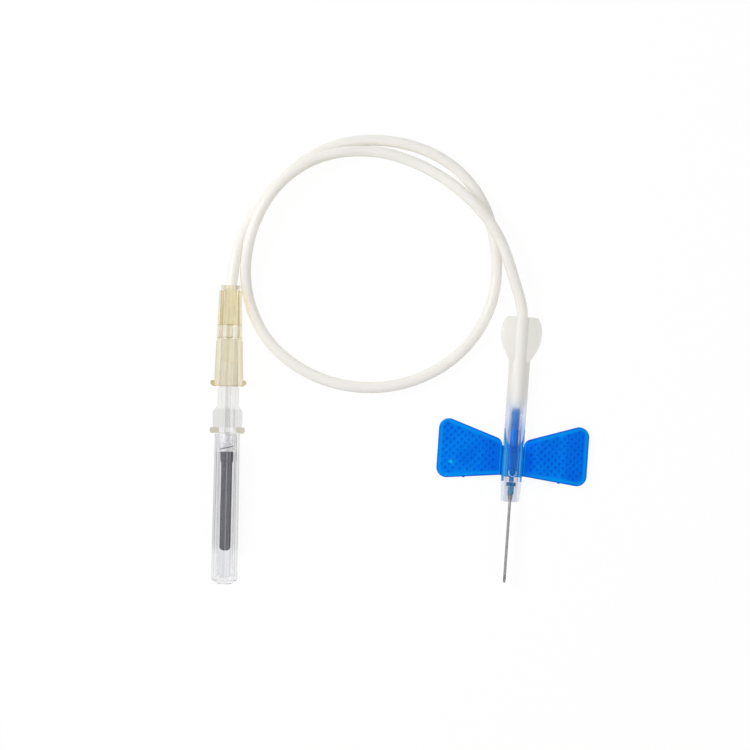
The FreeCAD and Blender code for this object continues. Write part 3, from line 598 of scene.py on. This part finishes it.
def latch_highlight(looks):
    """1 on a thin ring of painted highlight round the latch window, on its top only, fading towards the grip.
    """
    centre = NEEDLE.origin + NEEDLE.axis * LATCH_STATION
    ring = looks.band(looks.distance(centre), *LATCH_HIGHLIGHT_RADII, soft=0.05 * MM)
    high = looks.step(looks.height(NEEDLE), *HIGHLIGHT_HEIGHT_FADE)
    return looks.times(ring, high, looks.step(looks.along(NEEDLE.axis, centre), *HIGHLIGHT_REAR_FADE))


def collar_vinyl():
    """The wings' vinyl: thin enough to see through round the shield, opaque at its foot, with painted
    refraction streaks and a painted highlight round the latch window.
    """
    looks = Looks("collar_vinyl", Roughness=0.06, IOR=1.06, Specular_IOR_Level=0.5, Coat_Weight=0.1,
                  Coat_Roughness=0.1)
    station = looks.station(NEEDLE)
    foot = looks.times(looks.step(looks.across(NEEDLE), *FOOT_ACROSS_FADE),
                       looks.band(station, *COLLAR_FOOT, soft=0.1 * MM))
    solid = looks.mix(looks.step(looks.side(NEEDLE), *FOOT_SIDE_FADE), *COLLAR_SOLID)
    tips = looks.most(looks.step(station, *FRONT_TIPS_FADE), looks.step(station, *REAR_TIPS_FADE))
    # painted refraction streaks along the collar
    thin = looks.mix(looks.stripes(NEEDLE, 0.5 * MM), *COLLAR_THIN)
    thin = looks.mix(tips, thin, COLLAR_TIPS)
    # painted highlight round the latch window, where the vinyl is also made less clear
    ring = latch_highlight(looks)
    looks.set(Base_Color=looks.mix(ring, looks.mix(foot, thin, solid), RING_HIGHLIGHT_BLUE))
    clear = looks.blend(foot, 0.97, 0.1)
    looks.set(Transmission_Weight=looks.blend(looks.times(ring, 0.7), clear, 0.0))
    looks.lets_lamps_through(COLLAR_LAMPS)
    return looks


# Shield

SHIELD_CLEAR = ((0.73, 0.75, 0.81), (0.82, 0.84, 0.89))
SHIELD_BLUE = ((0.52, 0.60, 0.77), (0.58, 0.65, 0.81))
SHIELD_RIGHT = (0.46, 0.55, 0.74)
SHIELD_MILKY = ((0.845, 0.83, 0.80), (0.88, 0.865, 0.835))
SHIELD_LAMPS = (0.9, 0.91, 0.93)
SHIELD_ROUGHNESS = (0.04, 0.6)
FROST_FADE = (20 * MM, 25.5 * MM)
ROUGH_FADE = (17 * MM, 25 * MM)
TINT_START_FADE = (10 * MM, 14 * MM)
TINT_END_FADE = (16.5 * MM, 20 * MM)
RIGHT_FADE = (0.8 * MM, 1.5 * MM)


def shield_plastic():
    """Clear at the front, bluish behind the collar and frosted towards the grip, with painted refraction
    streaks along it.
    """
    looks = Looks("shield_frost", IOR=1.07, Specular_IOR_Level=0.5, Coat_Weight=0.12, Coat_Roughness=0.08)
    station = looks.station(NEEDLE)
    frost = looks.step(station, *FROST_FADE)
    # painted refraction streaks along the shield
    streak = looks.stripes(NEEDLE, 0.45 * MM)
    grain = looks.noise(0.25 * MM)
    tinted = looks.times(looks.step(station, *TINT_START_FADE),
                         looks.blend(looks.step(station, *TINT_END_FADE), 1.0, 0.3))
    blue = looks.mix(looks.step(looks.side(NEEDLE), *RIGHT_FADE), looks.mix(streak, *SHIELD_BLUE), SHIELD_RIGHT)
    clear = looks.mix(tinted, looks.mix(streak, *SHIELD_CLEAR), blue)
    looks.set(Base_Color=looks.mix(frost, clear, looks.mix(grain, *SHIELD_MILKY)))
    looks.set(Transmission_Weight=looks.blend(frost, 0.99, 0.35))
    looks.set(Roughness=looks.blend(looks.step(station, *ROUGH_FADE), *SHIELD_ROUGHNESS))
    looks.bump(grain, 0.003 * MM)
    looks.lets_lamps_through(SHIELD_LAMPS)
    return looks


# Luer connector

CONNECTOR_OVER_NOZZLE = ((0.77, 0.745, 0.66), (0.88, 0.865, 0.81))
CONNECTOR_BORE = ((0.77, 0.73, 0.61), (0.87, 0.845, 0.77))
CONNECTOR_WALL = ((0.77, 0.72, 0.55), (0.835, 0.80, 0.68))
SOCKET_BORE = ((0.79, 0.75, 0.60), (0.86, 0.83, 0.70))
SOCKET_WALL = ((0.72, 0.66, 0.46), (0.79, 0.73, 0.55))
# painted shade in lines at the socket's bottom, the ledge and the mouth, and along the outline
CONNECTOR_EDGE_SHADE = (0.55, 0.48, 0.25)
CONNECTOR_LUGS = (0.62, 0.55, 0.33)
CONNECTOR_LAMPS = (0.88, 0.84, 0.7)
SOCKET_BOTTOM = CONNECTOR_LENGTH - SOCKET_DEPTH
SOCKET = (SOCKET_BOTTOM, CONNECTOR_LENGTH - 1.3 * MM)
SOCKET_ACROSS_FADE = (2.3 * MM, 2.15 * MM)
NOZZLE_END_FADE = (ADAPTER_REACH + 0.1 * MM, ADAPTER_REACH - 0.1 * MM)
BORE_FADE = (2.15 * MM, 1.85 * MM)
SOCKET_BORE_FADE = (1.4 * MM, 1.2 * MM)
# where the painted shade lines and the outline's painted shade lie
SOCKET_LINE = (SOCKET_BOTTOM - 0.1 * MM, SOCKET_BOTTOM + 0.05 * MM)
LEDGE = (LEDGE_STATION - 0.12 * MM, LEDGE_STATION + 0.08 * MM)
MOUTH_LINE_FADE = (0.3 * MM, 0.12 * MM)
OUTLINE_SHADE_STATIONS = (1.4 * MM, LEDGE_STATION - 0.9 * MM)
OUTLINE_SHADE_FADE = (2.92 * MM, 3.08 * MM)
LUG_ACROSS_FADE = (3.0 * MM, 3.4 * MM)
LUG_STATION_FADE = (1.6 * MM, 1.3 * MM)
STREAK_FADE = (0.3, 0.7)                # painted refraction streaks; for the adapter and the cap too


def connector_plastic():
    """Yellow tinted plastic, deeper where the tube is bonded into its socket, with painted shade along its
    outline and in lines at its edges.
    """
    looks = Looks("connector_tint", IOR=1.07, Specular_IOR_Level=0.5, Coat_Weight=0.12, Coat_Roughness=0.1)
    station = looks.station(LUER)
    across = looks.across(LUER)
    # painted refraction streaks along the connector
    streak = looks.step(looks.stripes(LUER, 0.6 * MM), *STREAK_FADE)
    bore = looks.mix(looks.step(station, *NOZZLE_END_FADE), looks.mix(streak, *CONNECTOR_BORE),
                     looks.mix(streak, *CONNECTOR_OVER_NOZZLE))
    pale = looks.mix(looks.step(across, *BORE_FADE), looks.mix(streak, *CONNECTOR_WALL), bore)
    deep = looks.mix(looks.step(across, *SOCKET_BORE_FADE), looks.mix(streak, *SOCKET_WALL),
                     looks.mix(streak, *SOCKET_BORE))
    socket = looks.times(looks.band(station, *SOCKET, soft=0.1 * MM), looks.step(across, *SOCKET_ACROSS_FADE))
    # painted shade along the outline and in lines at the edges
    slant = looks.calc("ADD", across, looks.times(station, BODY_SLOPE))
    outline_shade = looks.times(looks.step(slant, *OUTLINE_SHADE_FADE), looks.band(station, *OUTLINE_SHADE_STATIONS, soft=0.1 * MM))
    edge_shade = looks.most(looks.band(station, *SOCKET_LINE, soft=0.04 * MM),
                       looks.band(station, *LEDGE, soft=0.05 * MM), looks.step(station, *MOUTH_LINE_FADE))
    edge_shade = looks.most(looks.times(edge_shade, 0.6), looks.times(outline_shade, 0.75))
    lug = looks.times(looks.step(across, *LUG_ACROSS_FADE), looks.step(station, *LUG_STATION_FADE))
    colour = looks.mix(edge_shade, looks.mix(socket, pale, deep), CONNECTOR_EDGE_SHADE)
    looks.set(Base_Color=looks.mix(lug, colour, CONNECTOR_LUGS))
    looks.set(Transmission_Weight=looks.blend(lug, 0.95, 0.4), Roughness=0.08)
    looks.lets_lamps_through(CONNECTOR_LAMPS)
    return looks


# Cap and adapter

CAP_CLEAR = ((0.80, 0.805, 0.82), (0.90, 0.90, 0.91))
# painted shade on the cap's sides, lighter towards its closed end
CAP_SIDE_SHADE = ((0.62, 0.62, 0.635), (0.79, 0.79, 0.80))
CAP_FAR_SIDE_SHADE = (0.84, 0.84, 0.85)
CAP_OVER_BOSS = (0.93, 0.93, 0.935)
ADAPTER_CLEAR = ((0.78, 0.78, 0.775), (0.89, 0.89, 0.885))
ADAPTER_VANE = ((0.70, 0.70, 0.69), (0.80, 0.80, 0.79))
ADAPTER_NOZZLE = (0.90, 0.895, 0.885)
ADAPTER_LUG = (0.60, 0.575, 0.50)
ADAPTER_BOSS = (0.92, 0.92, 0.925)
ADAPTER_SPECK = (0.4, 0.4, 0.42)
# painted shadow of the thread's edge
ADAPTER_THREAD_SHADOW = (0.02, 0.022, 0.035)
CLEAR_LAMPS = (0.9, 0.9, 0.91)
RIB_LINES_FADE = (0.35, 0.65)
FAR_SIDE_SHADE_FADE = (-36 * MM, -39 * MM)
SLEEVE_FRONT_FADE = (SLEEVE_FRONT - 0.3 * MM, SLEEVE_FRONT)
CAP_END_FADE = (CAP_BORE_END + 0.4 * MM, CAP_BORE_END)
CAP_SIDE_SHADE_FADE = (1.7 * MM, 1.9 * MM)
OVER_BOSS_FADE = (SLEEVE_FRONT - 0.1 * MM, SLEEVE_FRONT + 0.1 * MM)
OVER_BOSS_ACROSS_FADE = (2.1 * MM, 1.9 * MM)
NOZZLE_FADE = (0, 0.3 * MM)
ADAPTER_LUG_FADE = (1.8 * MM, 1.95 * MM)
BOSS_FADE = (ADAPTER_LUGS[0] + 0.3 * MM, ADAPTER_LUGS[0])
SPECK_FADE = (0.5, 0.62)
THREAD_SHADOW_HALF = 0.12 * MM
THREAD_SHADOW_FADE = (1.75 * MM, 1.5 * MM)
THREAD_SHADOW_HEIGHT_FADE = (0.4 * MM, 0.8 * MM)


def clear_plastic(name, colours, transmission):
    """Clear moulded plastic, and its colour with painted refraction streaks along the piece."""
    looks = Looks(name, IOR=1.12, Specular_IOR_Level=0.5, Transmission_Weight=transmission, Roughness=0.04,
                  Coat_Weight=0.12, Coat_Roughness=0.05)
    # painted refraction streaks along the piece
    streak = looks.step(looks.stripes(LUER, 0.5 * MM), *STREAK_FADE)
    looks.lets_lamps_through(CLEAR_LAMPS)
    return looks, looks.mix(streak, *colours)


def cap_plastic():
    """The clear plastic: painted shade at its sides and ends, with painted rib lines on its sides, and paler
    over the adapter's boss.
    """
    looks, body = clear_plastic("cap_clear", CAP_CLEAR, 0.985)
    station = looks.station(LUER)
    across = looks.across(LUER)
    # painted shade at the sides and ends, with painted light and dark lines for the ribs
    rib_lines = looks.step(looks.stripes(LUER, 0.35 * MM), *RIB_LINES_FADE)
    sides = looks.mix(looks.step(station, *FAR_SIDE_SHADE_FADE), looks.mix(rib_lines, *CAP_SIDE_SHADE), CAP_FAR_SIDE_SHADE)
    end_shade = looks.most(looks.step(station, *SLEEVE_FRONT_FADE), looks.step(station, *CAP_END_FADE))
    colour = looks.mix(looks.most(looks.step(across, *CAP_SIDE_SHADE_FADE), end_shade), body, sides)
    over_boss = looks.times(looks.step(station, *OVER_BOSS_FADE), looks.step(across, *OVER_BOSS_ACROSS_FADE))
    looks.set(Base_Color=looks.mix(over_boss, colour, CAP_OVER_BOSS))
    return looks


def adapter_plastic():
    """The clear plastic with a pale nozzle, darker vanes and lugs, and a speckled boss with a dark line of
    painted thread shadow.
    """
    looks, body = clear_plastic("adapter_clear", ADAPTER_CLEAR, 0.95)
    station = looks.station(LUER)
    side = looks.side(LUER)
    across = looks.calc("ABSOLUTE", side)
    nozzle = looks.step(station, *NOZZLE_FADE)
    vanes = looks.band(station, *ADAPTER_VANES, soft=0.3 * MM)
    lug = looks.times(looks.step(across, *ADAPTER_LUG_FADE), looks.band(station, *ADAPTER_LUGS, soft=0.1 * MM))
    boss = looks.step(station, *BOSS_FADE)
    speck = looks.times(boss, looks.step(looks.noise(0.38 * MM, detail=1.0), *SPECK_FADE))
    # painted thread shadow: a thin dark slanted line on the boss
    rise = looks.calc("SUBTRACT", station, BOSS_THREAD_SHADOW)
    rise = looks.calc("SUBTRACT", rise, looks.times(side, BOSS_THREAD_SHADOW_SLOPE))
    thread_shadow = looks.times(looks.band(rise, -THREAD_SHADOW_HALF, THREAD_SHADOW_HALF, soft=0.06 * MM),
                            looks.step(across, *THREAD_SHADOW_FADE),
                            looks.step(looks.height(LUER), *THREAD_SHADOW_HEIGHT_FADE))
    colour = looks.mix(vanes, body, looks.mix(looks.stripes(LUER, 0.5 * MM), *ADAPTER_VANE))
    colour = looks.mix(looks.times(nozzle, 0.8), colour, ADAPTER_NOZZLE)
    colour = looks.mix(lug, colour, ADAPTER_LUG)
    colour = looks.mix(looks.times(boss, 0.9), colour, ADAPTER_BOSS)
    colour = looks.mix(looks.times(speck, 0.55), colour, ADAPTER_SPECK)
    looks.set(Base_Color=looks.mix(thread_shadow, colour, ADAPTER_THREAD_SHADOW))
    solid = looks.most(looks.times(nozzle, 0.1), looks.times(lug, 0.8), thread_shadow, looks.times(boss, 0.3))
    looks.set(Transmission_Weight=looks.blend(solid, 0.95, 0.0))
    return looks


# Rubber sleeve

SLEEVE_GREY = ((0.062, 0.063, 0.074), (0.095, 0.095, 0.104))
# painted reflections and painted highlights on the sleeve
SLEEVE_REFLECTED_STREAK = (0.17, 0.17, 0.185)
SLEEVE_GLINT = (0.25, 0.25, 0.27)
SLEEVE_REFLECTION_FADE = (0.5, 0.7)
SLEEVE_GLINTS = ((0.00002, 0.0002), (0.0008, 0.0009))      # where the painted highlight lines lie, to the right


def sleeve_rubber():
    """Matt grey rubber with painted reflections of the cap's ribs and painted highlights, as lighter lines
    along it.
    """
    looks = Looks("sleeve_rubber", Roughness=0.55, IOR=1.5, Specular_IOR_Level=0.2)
    streak = looks.stripes(LUER, 0.4 * MM)
    grey = looks.mix(looks.noise(1.5 * MM), *SLEEVE_GREY)
    # painted reflections of the cap's ribs, then painted highlight lines
    grey = looks.mix(looks.step(streak, *SLEEVE_REFLECTION_FADE), grey, SLEEVE_REFLECTED_STREAK)
    side = looks.side(LUER)
    for low, high in SLEEVE_GLINTS:
        grey = looks.mix(looks.band(side, low, high, soft=0.06 * MM), grey, SLEEVE_GLINT)
    looks.set(Base_Color=grey)
    looks.bump(streak, 0.01 * MM)
    return looks


# Tubing

TUBE_WALL = ((0.93, 0.915, 0.87), (0.96, 0.945, 0.905))
TUBE_BORE = ((0.90, 0.88, 0.86), (0.945, 0.925, 0.905))
# painted shade on the tube's flanks
TUBE_FLANK_SHADE = (0.86, 0.81, 0.69)
TUBE_OVER_SPIGOT = (0.90, 0.93, 0.97)
TUBE_BONDED = (0.98, 0.97, 0.95)
TUBE_LAMPS = (0.6, 0.59, 0.56)
BORE_UP_FADE = (0.78, 0.92)             # by how much the surface faces up
FLANK_SHADE_UP_FADE = (0.5, 0.12)
SPIGOT_FADE = (SPIGOT_END + 1.5 * MM, SPIGOT_END - 0.5 * MM)
BONDED_FADE = (CONNECTOR_LENGTH, CONNECTOR_LENGTH - 1 * MM)
TUBE_ACROSS_FADE = (2.5 * MM, 2.0 * MM)


def tube_vinyl():
    """Soft cream tubing: a pale wall, a greyer bore along its middle, painted shade along its flanks,
    see-through over the spigot.
    """
    looks = Looks("tube_vinyl", Roughness=0.3, IOR=1.4, Specular_IOR_Level=0.2)
    normal = looks.add("TexCoord").outputs["Normal"]
    up = looks.calc("ABSOLUTE", looks.vector("DOT_PRODUCT", normal, UP))
    cloud = looks.noise(6 * MM)
    wall = looks.mix(cloud, *TUBE_WALL)
    bore = looks.mix(cloud, *TUBE_BORE)
    colour = looks.mix(looks.step(up, *BORE_UP_FADE), wall, bore)
    # painted shade where the surface faces sideways
    colour = looks.mix(looks.step(up, *FLANK_SHADE_UP_FADE), colour, TUBE_FLANK_SHADE)
    spigot = looks.times(looks.step(looks.station(NEEDLE), *SPIGOT_FADE),
                         looks.step(looks.across(NEEDLE), *TUBE_ACROSS_FADE))
    colour = looks.mix(spigot, colour, TUBE_OVER_SPIGOT)
    bonded = looks.times(looks.step(looks.station(LUER), *BONDED_FADE),
                         looks.step(looks.across(LUER), *TUBE_ACROSS_FADE))
    looks.set(Base_Color=looks.mix(bonded, colour, TUBE_BONDED))
    looks.set(Transmission_Weight=looks.blend(bonded, looks.blend(spigot, 0.3, 0.98), 0.95))
    looks.bump(looks.noise(0.8 * MM), 0.01 * MM)
    looks.lets_lamps_through(TUBE_LAMPS)
    return looks


def route():
    """Control points of the tubing, from the hub's shoulder to the bottom of the connector's socket."""
    exit_bend = SHIELD_LENGTH + EXIT_RUN
    points = [NEEDLE.origin + NEEDLE.axis * station
              for station in (HUB_SHOULDER, exit_bend - LEAD_RUN, exit_bend)]
    for angle, radius, height in LOOP_ROUTE:
        turn = math.radians(angle)
        flat = NEEDLE.origin + LOOP_CENTRE + Vector((math.cos(turn), math.sin(turn), 0)) * radius
        points.append(Vector((flat.x, flat.y, height)))
    points.append(LUER.origin + LUER.axis * (CONNECTOR_LENGTH + CONNECTOR_RUN))
    points.append(LUER.origin + LUER.axis * SOCKET_BOTTOM)
    return points


def soft_tube():
    """The tubing as one smooth curve."""
    curve = bpy.data.curves.new("soft_tube", "CURVE")
    curve.dimensions = "3D"
    curve.resolution_u = 24
    curve.bevel_depth = TUBE_DIA / 2
    curve.bevel_resolution = 8
    points = route()
    spline = curve.splines.new("NURBS")
    spline.points.add(len(points) - 1)
    for target, point in zip(spline.points, points):
        target.co = (*point, 1.0)
    spline.order_u = 3
    spline.use_endpoint_u = True
    curve.materials.append(tube_vinyl().material)
    tube = bpy.data.objects.new("soft_tube", curve)
    bpy.context.scene.collection.objects.link(tube)
    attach(tube, "hub_and_tubing")
    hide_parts("tubing")


# Studio

def world():
    """White all round: even as a light, and brighter overhead than at the horizon where it is seen."""
    made = bpy.data.worlds.new("studio")
    tree = Tree(made)
    direction = tree.add("TexCoord").outputs["Generated"]
    horizon = tree.fill(tree.add("MapRange"), Value=tree.add("SeparateXYZ", direction).outputs["Z"],
                        From_Max=HORIZON_HEIGHT, To_Min=HORIZON_LIGHT, To_Max=ZENITH_LIGHT)
    light = tree.add("Background", WHITE, tree.blend(tree.background(), WORLD_LIGHT, horizon.outputs[0]))
    tree.add("OutputWorld", light.outputs[0])
    bpy.context.scene.world = made


def lamp(name, place, side, power, target):
    """A square soft box that points at the target."""
    data = bpy.data.lights.new(name, "AREA")
    data.size = side
    data.energy = power
    box = bpy.data.objects.new(name, data)
    bpy.context.scene.collection.objects.link(box)
    box.location = place
    box.rotation_euler = (target - Vector(place)).to_track_quat("-Z", "Y").to_euler()


def floor():
    """A white table that keeps a faint shadow."""
    half = FLOOR_SIDE / 2
    mesh = bpy.data.meshes.new("floor")
    corners = [(x, y, -FLOOR_DROP) for x, y in ((-half, -half), (half, -half), (half, half), (-half, half))]
    mesh.from_pydata(corners, [], [(0, 1, 2, 3)])
    table = bpy.data.objects.new("floor", mesh)
    bpy.context.scene.collection.objects.link(table)
    material = bpy.data.materials.new("floor")
    tree = Tree(material)
    plain = tree.add("BsdfDiffuse", (FLOOR_WHITE,) * 3)
    lit = tree.add("BsdfDiffuse", (FLOOR_LIT,) * 3)
    glow = tree.add("Emission", WHITE, FLOOR_GLOW)
    seen = tree.add("AddShader", lit.outputs[0], glow.outputs[0])
    surface = tree.add("MixShader", tree.background(), plain.outputs[0], seen.outputs[0])
    tree.add("OutputMaterial", surface.outputs[0])
    mesh.materials.append(material)


def camera():
    """Looks straight down, with the shield's front end where the photograph has it."""
    front = NEEDLE.origin
    data = bpy.data.cameras.new("camera")
    data.sensor_width = SENSOR
    data.lens = SENSOR * (CAMERA_HEIGHT - front.z) / (PICTURE_SIDE / PIXELS_PER_METRE)
    data.clip_start = CLIP_START
    view = bpy.data.objects.new("camera", data)
    bpy.context.scene.collection.objects.link(view)
    half = PICTURE_SIDE / 2
    view.location = (front.x + (half - FRONT_PIXEL[0]) / PIXELS_PER_METRE,
                     front.y - (half - FRONT_PIXEL[1]) / PIXELS_PER_METRE, CAMERA_HEIGHT)
    bpy.context.scene.camera = view


def main():
    """Sets the studio up, adds the tubing and dresses the other pieces."""
    bpy.context.scene.view_settings.view_transform = "Standard"
    for piece in [bpy.data.objects[name] for name in DEFAULTS if name in bpy.data.objects]:
        bpy.data.objects.remove(piece)
    camera()
    world()
    middle = (cad_box[0] + cad_box[1]) / 2
    lamp("key", KEY_PLACE, KEY_SIDE, KEY_POWER, middle)
    lamp("fill", FILL_PLACE, FILL_SIDE, FILL_POWER, middle)
    floor()
    soft_tube()
    dress("front_cannula", steel("needle_steel", NEEDLE))
    dress("rear_cannula", steel("rear_needle_steel", LUER))
    dress("hub_glue", glue("hub_glue", HUB_GLUE, 0.3))
    dress("adapter_glue", glue("adapter_glue", ADAPTER_GLUE, 0.8))
    dress("needle_hub", hub_plastic())
    dress("needle_shield", shield_plastic())
    dress("wing_collar", collar_vinyl())
    dress("right_wing", wing_vinyl("right_wing_vinyl", 1))
    dress("left_wing", wing_vinyl("left_wing_vinyl", -1))
    dress("luer_connector", connector_plastic())
    dress("luer_adapter", adapter_plastic())
    dress("rubber_sleeve", sleeve_rubber())
    dress("rear_cap", cap_plastic())


main()
